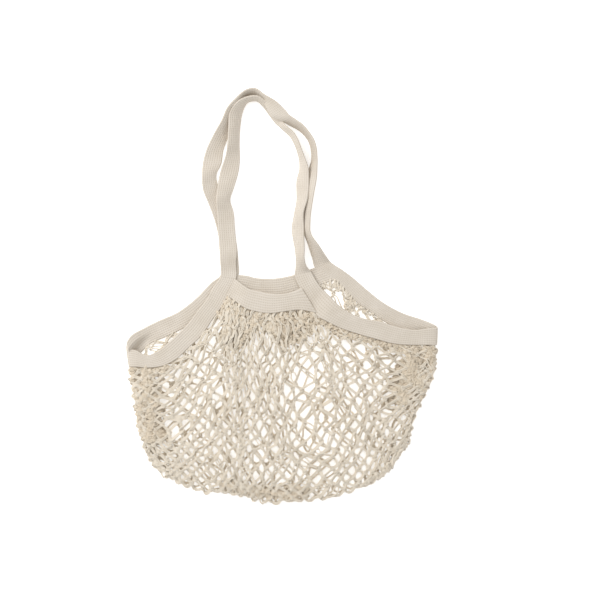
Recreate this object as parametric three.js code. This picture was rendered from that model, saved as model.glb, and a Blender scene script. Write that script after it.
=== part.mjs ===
// A long-handled net shopping bag of undyed cotton. It lies flat on its back, with its mouth drawn
// together at the middle and both handles laid out above it. Sizes are millimetres: X runs across the
// bag, Y from its bottom towards its handles, and Z up from the surface that it lies on.
import * as THREE from "three";

// The knitted tape that binds the mouth and makes the handles
const TAPE_WIDTH = 24;
const TAPE_THICKNESS = 2.6;
const TAPE_EDGE_SHARE = 0.6; // how thick the tape still is at its edges
const TAPE_ACROSS = [-1, -0.8, 0, 0.8, 1];

// The net
const NET_THICKNESS = 2.5;
const LEFT_STEPS = 6; // half meshes along the left band, on each side of the bag
const RIM_STEPS = 5;
const RIGHT_STEPS = 7;
const SIDE_STEPS = LEFT_STEPS + RIM_STEPS + RIGHT_STEPS;
const AROUND = 2 * SIDE_STEPS;
const DEEP = 8; // half meshes from the mouth to the bottom
const GAP_AT_KNOT = 0.76; // how much of a mesh its gap takes, towards a knot
const GAP_AT_CORD = 0.84; // and towards the middle of a cord

// Heights above the surface
const BACK_LEVEL = TAPE_THICKNESS / 2;
const FRONT_LEVEL = 11;
const MOUTH_FOLD_LEVEL = 6;
const BOTTOM_FOLD_LEVEL = 4;
const DOME_RISE = 2;
const GATHER_RISE = 1.2;
const GATHER_STEPS = 4; // half meshes from one gather under the rim to the next
const GATHER_DEPTH = 0.5; // the share of the net's depth that the gathers reach

// Clearances
const SEAM_GAP = 0.4;
const CORNER_GAP = 0.9;

const COTTON = { color: 0xded5c8, roughness: 0.95, metalness: 0 };

const table = (columns, rows) => rows.map((row) => Object.fromEntries(columns.map((c, k) => [c, row[k]])));

// The side bands, from the front handle's end round the corner of the mouth to the back handle's end.
// Each row is one place along the tape: the edge that holds the net, and the free edge.
const BAND_COLUMNS = ["netX", "netY", "freeX", "freeY"];
const LEFT_BAND = table(BAND_COLUMNS, [
  [-61, 23, -82, 26],
  [-72, 0, -92, 11],
  [-80, -15, -100, -4],
  [-92, -31, -111, -18],
  [-107, -53, -125, -37],
  [-123, -68, -136, -48],
  [-139, -83, -152, -63],
  [-156, -92, -165, -72],
  [-175, -95, -180, -75],
  [-192, -94, -193, -72],
  [-203, -93, -206, -68],
  [-190, -79, -197, -53],
  [-176, -64, -184, -43],
  [-156, -55, -164, -33],
  [-133, -44, -141, -23],
  [-111, -32, -125, -12],
  [-95, -17, -112, -1],
  [-72, 7, -95, 17],
  [-58, 28, -82, 28],
]);
const LEFT_MARKS = { frontEnd: 0, frontCorner: 1, fold: 10, backCorner: 17, backEnd: 18 };
const RIGHT_BAND = table(BAND_COLUMNS, [
  [17, 27, 39, 32],
  [24, 10, 45, 21],
  [36, -8, 53, 10],
  [48, -20, 64, -1],
  [61, -31, 76, -13],
  [79, -42, 91, -23],
  [100, -50, 109, -30],
  [121, -56, 131, -34],
  [147, -63, 153, -41],
  [171, -65, 175, -45],
  [193, -65, 193, -43],
  [205, -65, 206, -41],
  [193, -60, 200, -37],
  [173, -51, 185, -31],
  [145, -39, 161, -23],
  [117, -25, 135, -9],
  [95, -9, 112, 9],
  [79, 4, 96, 23],
  [63, 17, 80, 35],
  [44, 38, 65, 45],
]);
const RIGHT_MARKS = { frontEnd: 0, frontBend: 1, frontCorner: 2, fold: 11, backCorner: 18, backEnd: 19 };

// The rim bands, from left to right between the side bands.
const FRONT_RIM = table(BAND_COLUMNS, [
  [-62, -7, -52, 15],
  [-49, -16, -42, 9],
  [-32, -21, -29, 6],
  [-16, -23, -15, 3],
  [1, -21, 0, 3],
  [19, -17, 13, 5],
]);
const BACK_RIM = table(BAND_COLUMNS, [
  [-56, 3, -47, 27],
  [-39, 0, -35, 24],
  [-19, -1, -19, 23],
  [0, 0, -3, 24],
  [21, 5, 16, 28],
  [40, 11, 32, 33],
]);

// The handles, from left to right. The roll lifts the tape's outer edge, and the curl bends its edges
// down, both in degrees.
const HANDLE_COLUMNS = ["x", "y", "z", "roll", "curl"];
const FRONT_HANDLE = table(HANDLE_COLUMNS, [
  [-72, 53, 7.5, 0, 10],
  [-74, 88, 5.4, 4, 15],
  [-77, 127, 9, 36, 25],
  [-71, 163, 2, 4, 15],
  [-66, 195, 7.6, 30, 20],
  [-63, 228, 10.5, 48, 25],
  [-55, 253, 11.7, 58, 25],
  [-43, 263, 12.8, 70, 25],
  [-29, 262, 12.6, 68, 25],
  [-17, 247, 12, 60, 20],
  [-6, 233, 12, 60, 20],
  [9, 220, 12.5, 66, 25],
  [22, 201, 13, 77, 30],
  [28, 177, 12.7, 70, 25],
  [28, 148, 10.9, 50, 20],
  [24.5, 117, 11, 51, 20],
  [21, 91, 10.2, 45, 20],
  [24, 59, 11.2, 53, 20],
]);
const BACK_HANDLE = table(HANDLE_COLUMNS, [
  [-71, 55, 1.3, 0, 0],
  [-75, 81, 1.3, 0, 0],
  [-84, 115, 1.4, 0, 0],
  [-96, 147, 4.6, 15, 15],
  [-97, 168, 4.6, 15, 15],
  [-91, 191, 1.6, 0, 10],
  [-83, 217, 6.6, 25, 15],
  [-72, 245, 12, 60, 20],
  [-58, 265, 12.6, 68, 25],
  [-40, 274, 13, 74, 25],
  [-24, 268, 12.6, 68, 25],
  [-9, 252, 9.6, 42, 20],
  [3, 237, 10.7, 50, 20],
  [22, 225, 12.2, 63, 25],
  [36, 213, 12.6, 68, 25],
  [43, 196, 13.1, 76, 25],
  [44, 173, 13, 74, 25],
  [41, 148, 12.5, 67, 25],
  [38, 121, 12.9, 73, 25],
  [35.5, 93, 13, 75, 25],
  [41, 71, 11.4, 55, 20],
  [48, 54, 6.6, 25, 10],
]);

// The net's outline below the bands
const OUTLINE_COLUMNS = ["x", "y"];
const LEFT_FOLD = table(OUTLINE_COLUMNS, [
  [-203, -93],
  [-199, -128],
  [-195, -159],
  [-188, -192],
  [-179, -213],
  [-167, -233],
]);
const RIGHT_FOLD = table(OUTLINE_COLUMNS, [
  [205, -65],
  [201, -104],
  [189, -133],
  [176, -165],
  [168, -197],
  [144, -228],
]);
const BOTTOM = table(OUTLINE_COLUMNS, [
  [-167, -233],
  [-125, -256],
  [-60, -268],
  [-19, -276],
  [37, -272],
  [91, -260],
  [125, -247],
  [144, -228],
]);

const vec = (x, y, z = 0) => new THREE.Vector3(x, y, z);
const mix = THREE.MathUtils.lerp;
const rad = THREE.MathUtils.degToRad;
const curveOf = (points) => new THREE.CatmullRomCurve3(points);
const atRow = (curve, row) => curve.getPoint(row / (curve.points.length - 1));
const quarter = (t) => Math.sqrt(1 - (1 - Math.min(1, t)) ** 2);

function edgesOf(rows) {
  return {
    net: curveOf(rows.map((r) => vec(r.netX, r.netY))),
    free: curveOf(rows.map((r) => vec(r.freeX, r.freeY))),
  };
}

const LEFT = edgesOf(LEFT_BAND);
const RIGHT = edgesOf(RIGHT_BAND);

// A rim band is cut to end a seam's width short of the side bands, along their net edge.
function rimRows(rows, from, to) {
  const end = (band, low, high, side) => {
    const a = band[low];
    const b = band[high];
    const along = vec(b.netX - a.netX, b.netY - a.netY).normalize();
    const off = vec(along.y, -along.x).multiplyScalar(side * SEAM_GAP);
    return { netX: a.netX + off.x, netY: a.netY + off.y, freeX: b.netX + off.x, freeY: b.netY + off.y };
  };
  return [end(LEFT_BAND, from.low, from.high, 1), ...rows, end(RIGHT_BAND, to.low, to.high, -1)];
}
const FRONT = edgesOf(
  rimRows(
    FRONT_RIM,
    { low: LEFT_MARKS.frontCorner, high: LEFT_MARKS.frontEnd },
    { low: RIGHT_MARKS.frontCorner, high: RIGHT_MARKS.frontBend },
  ),
);
const BACK = edgesOf(
  rimRows(
    BACK_RIM,
    { low: LEFT_MARKS.backCorner, high: LEFT_MARKS.backEnd },
    { low: RIGHT_MARKS.backCorner, high: RIGHT_MARKS.backEnd },
  ),
);

// How high the bag's wall is, a number of half meshes from the nearest side fold and from the bottom.
const wallLevel = (aside, above, fold, level) => mix(fold, level, quarter(aside) * quarter(above));

// The binding at a place round the mouth, counted in half meshes from the left fold, front side first.
const MOUTH = [
  { to: LEFT_STEPS, edges: LEFT, first: LEFT_MARKS.fold, last: LEFT_MARKS.frontCorner },
  { to: LEFT_STEPS + RIM_STEPS, edges: FRONT, first: 0, last: FRONT_RIM.length + 1 },
  { to: SIDE_STEPS, edges: RIGHT, first: RIGHT_MARKS.frontCorner, last: RIGHT_MARKS.fold },
  { to: SIDE_STEPS + RIGHT_STEPS, edges: RIGHT, first: RIGHT_MARKS.fold, last: RIGHT_MARKS.backCorner },
  { to: SIDE_STEPS + RIGHT_STEPS + RIM_STEPS, edges: BACK, first: BACK_RIM.length + 1, last: 0 },
  { to: AROUND, edges: LEFT, first: LEFT_MARKS.backCorner, last: LEFT_MARKS.fold },
];
const wrap = (step) => ((step % AROUND) + AROUND) % AROUND;
const isFront = (step) => wrap(step) <= SIDE_STEPS;
const fromFold = (step) => Math.min(wrap(step) % SIDE_STEPS, SIDE_STEPS - (wrap(step) % SIDE_STEPS));

function binding(step) {
  const s = wrap(step);
  const k = MOUTH.findIndex((part) => s <= part.to);
  const start = k ? MOUTH[k - 1].to : 0;
  const row = mix(MOUTH[k].first, MOUTH[k].last, (s - start) / (MOUTH[k].to - start));
  const net = atRow(MOUTH[k].edges.net, row);
  const free = atRow(MOUTH[k].edges.free, row);
  const level = isFront(s) ? FRONT_LEVEL : BACK_LEVEL;
  net.z = wallLevel(fromFold(s), DEEP, MOUTH_FOLD_LEVEL, level);
  free.z = net.z;
  return { net, free };
}

// A closed body through rings of points, capped at both ends.
function loft(rings) {
  const n = rings[0].length;
  const points = rings.flat();
  const faces = [];
  for (let r = 0; r + 1 < rings.length; r++) {
    for (let k = 0; k < n; k++) {
      const a = r * n + k;
      const b = r * n + ((k + 1) % n);
      faces.push([a, b, b + n], [a, b + n, a + n]);
    }
  }
  const cap = (start, flip) => {
    for (let k = 0; k + 1 < n / 2; k++) {
      const a = start + k;
      const d = start + n - 1 - k;
      const quad = [[a, d, d - 1], [a, d - 1, a + 1]];
      for (const f of quad) faces.push(flip ? [f[0], f[2], f[1]] : f);
    }
  };
  cap(0, false);
  cap(points.length - n, true);
  return body(points, faces);
}

// A mesh's geometry from points and triangles, turned so that its faces look outwards.
function body(points, faces) {
  let volume = 0;
  for (const [a, b, c] of faces) volume += points[a].dot(vec().crossVectors(points[b], points[c]));
  const index = faces.flatMap(([a, b, c]) => (volume < 0 ? [a, c, b] : [a, b, c]));
  const geometry = new THREE.BufferGeometry().setFromPoints(points);
  geometry.setIndex(index);
  geometry.computeVertexNormals();
  return geometry;
}

// One cross-section of the tape: a ring over its upper face and back under its lower one.
function tapeRing(centre, across, up, width, curl) {
  const bend = Math.max(rad(curl), 1e-4);
  const radius = width / bend;
  const place = (k, side) => {
    const angle = (k * bend) / 2;
    const half = (side * TAPE_THICKNESS * (Math.abs(k) === 1 ? TAPE_EDGE_SHARE : 1)) / 2;
    const out = across.clone().multiplyScalar((radius + half) * Math.sin(angle));
    return out.addScaledVector(up, (radius + half) * Math.cos(angle) - radius).add(centre);
  };
  const over = TAPE_ACROSS.map((k) => place(k, 1));
  return [...over, ...TAPE_ACROSS.map((k) => place(k, -1)).reverse()];
}

// A flat tape that follows two edges, given as a list of places.
function flatTape(places) {
  const rings = places.map(({ net, free }, k) => {
    const before = places[Math.max(0, k - 1)];
    const after = places[Math.min(places.length - 1, k + 1)];
    const along = after.net.clone().add(after.free).sub(before.net).sub(before.free).normalize();
    const across = free.clone().sub(net);
    const width = across.length();
    across.divideScalar(width);
    const up = vec().crossVectors(across, along).normalize();
    return tapeRing(net.clone().add(free).multiplyScalar(0.5), across, up, width, 0);
  });
  return loft(rings);
}

const endPlace = (rows, row, level) => {
  const r = rows[row];
  return { net: vec(r.netX, r.netY, level), free: vec(r.freeX, r.freeY, level) };
};
const steps = (from, to) => {
  const count = Math.round(Math.abs(to - from) * 2);
  return Array.from({ length: count + 1 }, (_, k) => mix(from, to, k / count));
};

const leftBand = flatTape([
  endPlace(LEFT_BAND, LEFT_MARKS.frontEnd, FRONT_LEVEL),
  ...steps(LEFT_STEPS, -LEFT_STEPS).map(binding),
  endPlace(LEFT_BAND, LEFT_MARKS.backEnd, BACK_LEVEL),
]);
const rightBand = flatTape([
  endPlace(RIGHT_BAND, RIGHT_MARKS.frontEnd, FRONT_LEVEL),
  endPlace(RIGHT_BAND, RIGHT_MARKS.frontBend, FRONT_LEVEL),
  ...steps(SIDE_STEPS - RIGHT_STEPS, SIDE_STEPS + RIGHT_STEPS).map(binding),
  endPlace(RIGHT_BAND, RIGHT_MARKS.backEnd, BACK_LEVEL),
]);

// A rim band's own ends lie on its first and last rows, clear of the side bands.
const rimPlaces = (edges, level) =>
  steps(0, RIM_STEPS).map((s) => {
    const row = (s / RIM_STEPS) * (edges.net.points.length - 1);
    const net = atRow(edges.net, row).setZ(level);
    const free = atRow(edges.free, row).setZ(level);
    return { net, free };
  });
const frontRim = flatTape(rimPlaces(FRONT, FRONT_LEVEL));
const backRim = flatTape(rimPlaces(BACK, BACK_LEVEL));

// A handle leaves the end of one side band and comes down to the end of the other.
function handle(rows, from, to) {
  const endRing = (end) => {
    const centre = end.net.clone().add(end.free).multiplyScalar(0.5);
    const across = end.free.clone().sub(end.net);
    const width = across.length();
    centre.addScaledVector(end.away, SEAM_GAP);
    return { centre, ring: tapeRing(centre, across.divideScalar(width), vec(0, 0, 1), width, 0) };
  };
  const first = endRing(from);
  const last = endRing(to);
  const path = curveOf([first.centre, ...rows.map((r) => vec(r.x, r.y, r.z)), last.centre]);
  const lie = curveOf([vec(), ...rows.map((r) => vec(r.roll, r.curl)), vec()]);
  const count = path.points.length - 1;
  const rings = [first.ring];
  for (let k = 1; k < count * 2; k++) {
    const row = k / 2;
    const along = path.getTangent(row / count).setZ(0).normalize();
    const out = vec(-along.y, along.x);
    const { x: roll, y: curl } = atRow(lie, row);
    const across = out.clone().multiplyScalar(Math.cos(rad(roll))).setZ(Math.sin(rad(roll)));
    const up = out.clone().multiplyScalar(-Math.sin(rad(roll))).setZ(Math.cos(rad(roll)));
    const ring = tapeRing(atRow(path, row), across, up, TAPE_WIDTH, curl);
    const sunk = Math.min(0, ...ring.map((p) => p.z));
    rings.push(ring.map((p) => p.setZ(p.z - sunk)));
  }
  rings.push(last.ring);
  return loft(rings);
}

function handleEnd(rows, end, next, level) {
  const place = endPlace(rows, end, level);
  const inner = endPlace(rows, next, level);
  const away = place.net.clone().add(place.free).sub(inner.net).sub(inner.free).normalize();
  return { ...place, away };
}
const frontHandle = handle(
  FRONT_HANDLE,
  handleEnd(LEFT_BAND, LEFT_MARKS.frontEnd, LEFT_MARKS.frontCorner, FRONT_LEVEL),
  handleEnd(RIGHT_BAND, RIGHT_MARKS.frontEnd, RIGHT_MARKS.frontBend, FRONT_LEVEL),
);
const backHandle = handle(
  BACK_HANDLE,
  handleEnd(LEFT_BAND, LEFT_MARKS.backEnd, LEFT_MARKS.backCorner, BACK_LEVEL),
  handleEnd(RIGHT_BAND, RIGHT_MARKS.backEnd, RIGHT_MARKS.backCorner, BACK_LEVEL),
);

// The net's wall: four edges blended into one surface on each side, which meet at the folds.
const FOLD_LEFT = curveOf(LEFT_FOLD.map((r) => vec(r.x, r.y)));
const FOLD_RIGHT = curveOf(RIGHT_FOLD.map((r) => vec(r.x, r.y)));
const FOLD_BOTTOM = curveOf(BOTTOM.map((r) => vec(r.x, r.y)));
const CORNERS = [0, 1, 3, 4].map((k) => MOUTH[k].to);

function netTop(step) {
  const { net, free } = binding(step);
  if (CORNERS.some((c) => Math.abs(wrap(step) - c) < 1e-6)) return net.add(vec(0, -CORNER_GAP));
  const away = net.clone().sub(free).setZ(0).normalize();
  return net.addScaledVector(away, SEAM_GAP);
}

// A side fold starts at the net's own edge, a seam's width below the tape.
const foldAt = (fold, top, v) => fold.getPoint(v).addScaledVector(top.clone().sub(fold.points[0]), 1 - v);

function wall(step, deep) {
  if (deep > DEEP) return wall(AROUND - step, 2 * DEEP - deep);
  const s = wrap(step);
  const u = isFront(s) ? s / SIDE_STEPS : (AROUND - s) / SIDE_STEPS;
  const v = deep / DEEP;
  const top = netTop(s);
  const topLeft = netTop(0);
  const topRight = netTop(SIDE_STEPS);
  const bottom = FOLD_BOTTOM.getPoint(u);
  const left = foldAt(FOLD_LEFT, topLeft, v);
  const right = foldAt(FOLD_RIGHT, topRight, v);
  const low = FOLD_BOTTOM.points;
  const blend = (axis) => {
    const across = mix(left[axis], right[axis], u);
    const down = mix(top[axis], bottom[axis], v);
    const upper = mix(topLeft[axis], topRight[axis], u);
    const lower = mix(low[0][axis], low[low.length - 1][axis], u);
    return across + down - mix(upper, lower, v);
  };
  const fold = mix(MOUTH_FOLD_LEVEL, BOTTOM_FOLD_LEVEL, v);
  const gather = v < GATHER_DEPTH ? Math.sin((Math.PI * v) / GATHER_DEPTH) : 0;
  const wave = GATHER_RISE * gather * Math.cos((2 * Math.PI * s) / GATHER_STEPS);
  const dome = DOME_RISE * Math.sin(Math.PI * u) * Math.sin(Math.PI * v);
  const level = isFront(s) ? FRONT_LEVEL + dome + wave : NET_THICKNESS / 2;
  return vec(blend("x"), blend("y"), wallLevel(fromFold(s), DEEP - deep, fold, level));
}

const REACH = 0.2;
function outwards(step, deep) {
  const aside = wall(step + REACH, deep).sub(wall(step - REACH, deep));
  const down = wall(step, deep + REACH).sub(wall(step, Math.max(0, deep - REACH)));
  const normal = vec().crossVectors(down, aside);
  if (normal.length() < 1e-3) return vec(fromFold(step) < 1 && wrap(step) < 1 ? -1 : 1, -1).normalize();
  return normal.normalize();
}

function netBody() {
  const points = [];
  const faces = [];
  const known = new Map();
  const point = (step, deep, side) => {
    const s = deep === DEEP ? Math.min(wrap(step), AROUND - wrap(step)) : wrap(step);
    const key = [s.toFixed(4), deep.toFixed(4), side].join();
    if (!known.has(key)) {
      known.set(key, points.length);
      points.push(wall(s, deep).addScaledVector(outwards(s, deep), (side * NET_THICKNESS) / 2));
    }
    return known.get(key);
  };
  const quad = (a, b, c, d) => faces.push([a, b, c], [a, c, d]);
  const halved = (ring) =>
    ring.flatMap((p, k) => {
      const q = ring[(k + 1) % ring.length];
      return [p, { s: (p.s + q.s) / 2, d: (p.d + q.d) / 2, middle: true }];
    });
  const skin = (ring, inner) => {
    ring.forEach((p, k) => {
      const q = ring[(k + 1) % ring.length];
      for (const side of [1, -1]) {
        const [a, b] = side > 0 ? [p, q] : [q, p];
        const [e, f] = side > 0 ? [k, k + 1] : [k + 1, k];
        const corners = [a, b, inner[f % inner.length], inner[e % inner.length]];
        const [c0, c1, c2, c3] = corners.map((c) => point(c.s, c.d, side));
        if (inner.length === 1) faces.push([c0, c1, c2]);
        else quad(c0, c1, c2, c3);
      }
    });
  };
  const lip = (p, q) => {
    const [a, b] = [point(p.s, p.d, 1), point(q.s, q.d, 1)];
    quad(a, b, point(q.s, q.d, -1), point(p.s, p.d, -1));
  };
  for (let d = 0; d <= DEEP; d++) {
    for (let s = (d + 1) % 2; s < AROUND; s += 2) {
      const left = { s: s - 1, d };
      const right = { s: s + 1, d };
      const centre = { s, d };
      if (d === 0) {
        const ring = halved([left, { s, d: 1 }, right, centre]);
        skin(ring, [{ s, d: 0.35 }]);
        const edge = halved([left, centre, right]).slice(0, 5);
        for (let k = 0; k < 4; k++) lip(edge[k], edge[k + 1]);
        continue;
      }
      if (d === DEEP) {
        skin(halved([left, centre, right, { s, d: d - 1 }]), [{ s, d: d - 0.35 }]);
        continue;
      }
      const ring = halved([left, { s, d: d + 1 }, right, { s, d: d - 1 }]);
      if (s % SIDE_STEPS === 0) {
        skin(ring, [centre]);
        continue;
      }
      const hole = ring.map((p) => {
        const share = p.middle ? GAP_AT_CORD : GAP_AT_KNOT;
        return { s: mix(s, p.s, share), d: mix(d, p.d, share) };
      });
      skin(ring, hole);
      hole.forEach((p, k) => lip(p, hole[(k + 1) % hole.length]));
    }
  }
  return body(points, faces);
}

const bag = new THREE.Group();
bag.name = "net_shopping_bag";
function add(name, geometry) {
  const mesh = new THREE.Mesh(geometry, new THREE.MeshStandardMaterial(COTTON));
  mesh.name = name;
  bag.add(mesh);
}
add("net_body", netBody());
add("front_rim_band", frontRim);
add("back_rim_band", backRim);
add("left_side_band", leftBand);
add("right_side_band", rightBand);
add("front_handle", frontHandle);
add("back_handle", backHandle);

export default bag;
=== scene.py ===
"""A long-handled net shopping bag of undyed cotton, lying flat on its back, seen from straight above."""
import math

import bmesh
import bpy
import numpy as np
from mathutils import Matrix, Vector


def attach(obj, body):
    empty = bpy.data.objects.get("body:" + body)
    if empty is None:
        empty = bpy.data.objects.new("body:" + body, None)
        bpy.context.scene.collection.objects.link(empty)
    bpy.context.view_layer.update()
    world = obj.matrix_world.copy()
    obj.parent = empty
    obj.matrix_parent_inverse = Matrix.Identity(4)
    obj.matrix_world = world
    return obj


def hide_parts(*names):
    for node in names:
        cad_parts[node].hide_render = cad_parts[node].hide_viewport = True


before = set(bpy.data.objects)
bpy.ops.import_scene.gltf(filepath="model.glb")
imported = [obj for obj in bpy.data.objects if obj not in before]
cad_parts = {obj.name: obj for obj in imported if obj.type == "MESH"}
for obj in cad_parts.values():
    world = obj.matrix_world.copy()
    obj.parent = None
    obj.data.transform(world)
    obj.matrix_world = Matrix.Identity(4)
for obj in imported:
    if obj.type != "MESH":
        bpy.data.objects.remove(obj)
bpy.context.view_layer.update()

MM = 0.001
UP = np.array([0, 0, 1.0])

# The knitted tape, in millimetres
TAPE_THICKNESS = 2.6
TAPE_EDGE_SHARE = 0.4  # its thickness at its edges, as a share
TAPE_EDGE_POWER = 14  # how late it thins towards them
TAPE_EDGE_REACH = 1.012  # how far they stand out, in half widths
WALES = 8  # ribs of stitches across the tape
POINTS_PER_WALE = 5
WALE_DEPTH = 0.16
WALE_POWER = 0.7  # how sharp the grooves between the ribs are
STITCH_LENGTH = 3.0
TAPE_STEP = 1.5  # from one cross-section to the next
TAPE_END_LENGTH = 20.0  # near its ends a tape neither tilts nor curls
TAPE_TILT = 0.03
RIPPLE_LENGTHS = (37, 58, 83)  # of the slow waves in a tape's tilt
FLAT_CURL = 3  # degrees, where a tape lies flat
STANDING_CURL = 62  # degrees more, where it stands on edge
BAND_FINENESS = 60  # places worked out along a band, for each of its rows
HANDLE_FINENESS = 40
RIM_OVERLAP = 0.08  # how far a rim's end reaches under a side band, as a share of the band's width

# The net: pairs of strands, which meet the next pair in every second row
STRAND_RADIUS = 1.0
BACK_STRAND_RADIUS = 0.75
THIN_STRAND_RADIUS = 0.7
STRAND_SIDES = 5
PLY_LENGTH = 4.2  # along a strand from one ply to the next
PAIR = (-1, 1)  # where the strands of a pair lie beside its middle
TRIPLE = (-1.6, 0.05, 1.6)  # and where they lie if there is a third one
PAIR_SHARE = 0.95  # the unit of both, in radii
PAIR_STATIONS = (0.0, 0.12, 0.3, 0.5, 0.7, 0.88)
OPEN_PAIR_SHARE = 0.08  # the share of a pair's rows in which it lies spread open
OPEN_PAIR_SPREAD = (1.6, 3.4)  # and by how much
CROSSING_SHARE = 0.36  # the part of a half mesh in which two pairs run twisted together
CROSSING_OFFSET = 1.85  # how far a pair lies from the middle of a crossing
KNOT_SHIFT = (0.12, 0.22)  # how unevenly the crossings lie, in columns and in rows
SHORTEST_LOOP = 0.55  # how much of the last row the shortest loops at the bottom lack
FIRST_ROW = -0.6  # where the strands start, under a tape
ROW_UNDER_TAPE = 6.0
FLOOR_GAP = 0.02
FRONT_COLUMNS = {"left": 8, "rim": 12, "right": 8}
FRONT_ROWS = 24
BACK_COLUMNS = {"left": 5, "rim": 8, "right": 7}
BACK_ROWS = 18
MIDDLE_ROW_SHIFT = 0.2  # how far the rows lie crowded towards the bottom in the middle of the width
SIDE_ROW_SHIFT = -0.25  # and at its sides, where they lie crowded towards the mouth
SIDE_PART = 0.3  # the part of the width that counts as a side
SPREAD_BLUR = 0.05  # the share of the columns over which their spread is smoothed
SLACK_WAVES = 9
SLACK_SHARE = 0.018  # how far these waves move the net aside, by their length
LOOSE_FROM_SIDE = 0.06  # the net lies loose from here inwards, as shares of its width and its depth
LOOSE_FROM_MOUTH = 0.12
LOOSE_FROM_BOTTOM = 0.06
WALL_HANG = 0.7  # how nearly the strands hang side by side under the front rim
GATHER_HANG = 0.5
GATHER_LEAN = (0, -0.8)

# The chain of cord along the bands' net edges
CHAIN_STEP = 1.1
CHAIN_DROP = 0.9
CHAIN_LINK = 6.2
CHAIN_SWING = 0.55
CHAIN_RISE = 0.5
CHAIN_RADIUS = 0.62
CHAIN_INSET = 0.05  # as a share of the tape's width

# Heights above the surface
BACK_LEVEL = TAPE_THICKNESS / 2
FRONT_LEVEL = 11.0
MOUTH_FOLD_LEVEL = 6.0
BOTTOM_FOLD_LEVEL = 4.0
BACK_NET_LEVEL = 1.3
TUCK_LEVEL = 8.2
LOW_TUCK_LEVEL = 5.0
BOTTOM_TUCK_LEVEL = 7.6
GATHER_LEVEL = 9.2
LOW_GATHER_LEVEL = 6.4
WINDOW_LEVEL = 2.6
DEPTH_PARTS = 8.0  # the fold at the bottom is rounded over one such part of the net's depth
WIDTH_PARTS = 18.0  # the folds at the sides are rounded over one such part of its width

# How far the net rises and drops from those heights
FRONT_NET_DROP = 0.9
UNDER_BAND_DROP = 2.8
DOME_RISE = 1.4
PLEAT_RISE = 1.0
PLEAT_COLUMNS = 3.1  # from one pleat to the next
PLEAT_DEPTH = 0.6  # how far down the pleats run, as a share of the net's depth
UNEVEN_RISE = 0.8
TUCK_RISE = 2.2
GATHER_RISE = 1.2
GATHER_DROP = 1.8

# The side bands, from the front handle's end round the corner of the mouth to the back handle's end:
# the edge that holds the net, and the free edge.
LEFT_BAND = [
    (-61, 23, -82, 26),
    (-72, 0, -92, 11),
    (-80, -15, -100, -4),
    (-92, -31, -111, -18),
    (-107, -53, -125, -37),
    (-123, -68, -136, -48),
    (-139, -83, -152, -63),
    (-156, -92, -166, -74),
    (-175, -95, -180, -78.5),
    (-192, -94, -193, -72),
    (-203, -93, -206, -68),
    (-191, -79, -201, -54),
    (-176, -64, -184, -43),
    (-156, -55, -164, -33),
    (-133, -44, -141, -23),
    (-111, -32, -125, -12),
    (-95, -17, -112, -1),
    (-72, 7, -95, 17),
    (-58, 28, -82, 28),
]
RIGHT_BAND = [
    (17, 27, 39, 32),
    (24, 10, 45, 21),
    (35, -9, 53, 10),
    (45, -25, 64, -1),
    (60, -34, 76, -13),
    (79, -43, 91, -23),
    (100, -50, 109, -30),
    (121, -56, 131, -34),
    (147, -63, 153, -41),
    (171, -65, 175, -45),
    (193, -65, 193, -43),
    (205, -65, 206, -41),
    (193, -60, 200, -37),
    (173, -51, 185, -31),
    (145, -39, 161, -23),
    (118, -22, 135, -9),
    (97, -6, 112, 9),
    (85, 7.5, 96, 23),
    (71, 21, 80, 35),
    (44, 38, 65, 45),
]
# The bands' rows where they run on into the handles, bend, meet the rims and turn the corner of the mouth
LEFT_MARKS = {"front_end": 0, "front_corner": 1, "fold": 10, "back_corner": 17, "back_end": 18}
RIGHT_MARKS = {
    "front_end": 0,
    "front_bend": 1,
    "front_corner": 3,
    "fold": 11,
    "back_corner": 18,
    "back_end": 19,
}
# At the corner of the mouth: the part of each side over which a band rises, as one of so many, and how
# far its free edge turns up
LEFT_TURN = (6, 12.0)
RIGHT_TURN = (7, 3.0)

# The rim bands, from left to right between the side bands
FRONT_RIM = [
    (-62, -7, -52, 15),
    (-49, -16, -42, 9),
    (-32, -21, -29, 6),
    (-16, -23, -15, 3),
    (1, -21, 0, 3),
    (24, -18.5, 15, 6),
]
BACK_RIM = [
    (-56, 3, -47, 27),
    (-39, 0, -35, 24),
    (-19, -1, -19, 23),
    (0, 0, -3, 24),
    (21, 5, 16, 28),
    (40, 11, 32, 33),
]

# The handles, from left to right: the tape's inner edge and its outer edge, each with its height. The tapes
# lie flat at their left ends, and stand on edge round the top and down the right side.
FRONT_HANDLE = [
    (-61, 45, 8, -82, 45, 9),
    (-60, 61, 6, -83, 61, 7),
    (-62.5, 88, 5, -85, 88, 7),
    (-64.5, 112, 3, -86, 111, 9),
    (-69, 128, 2, -87, 128, 13),
    (-65, 141, 2, -86, 141, 9),
    (-58, 165, 1.5, -82, 165, 4),
    (-56, 186, 1.5, -75, 186, 8),
    (-57, 202, 1.5, -72, 201, 15),
    (-56, 224, 1.5, -71, 222, 16),
    (-53, 244, 1.5, -69, 243, 16),
    (-48, 256, 1.5, -59, 257, 19),
    (-41, 260.5, 1.5, -47, 263, 21),
    (-31, 260, 1.5, -32, 264, 22),
    (-24, 252, 1.5, -19, 256, 18),
    (-16, 240, 1.5, -6, 245, 14),
    (-8, 230, 1.5, 0, 233, 12),
    (0, 223.5, 1.5, 5, 226, 19),
    (13, 212, 1.5, 17, 214, 22),
    (22, 192, 1.5, 27, 192, 22),
    (24, 170, 1.5, 35, 170, 20),
    (20, 154, 1.5, 36, 153, 17),
    (20, 128, 1.5, 34, 128, 19),
    (17, 110, 1.5, 29, 109, 20),
    (13.5, 88, 1.5, 29.5, 88, 17),
    (18, 61, 3.5, 30, 61, 19),
    (19, 49, 6, 30, 49, 19),
    (18, 37, 9, 33, 39, 16),
]
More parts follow.
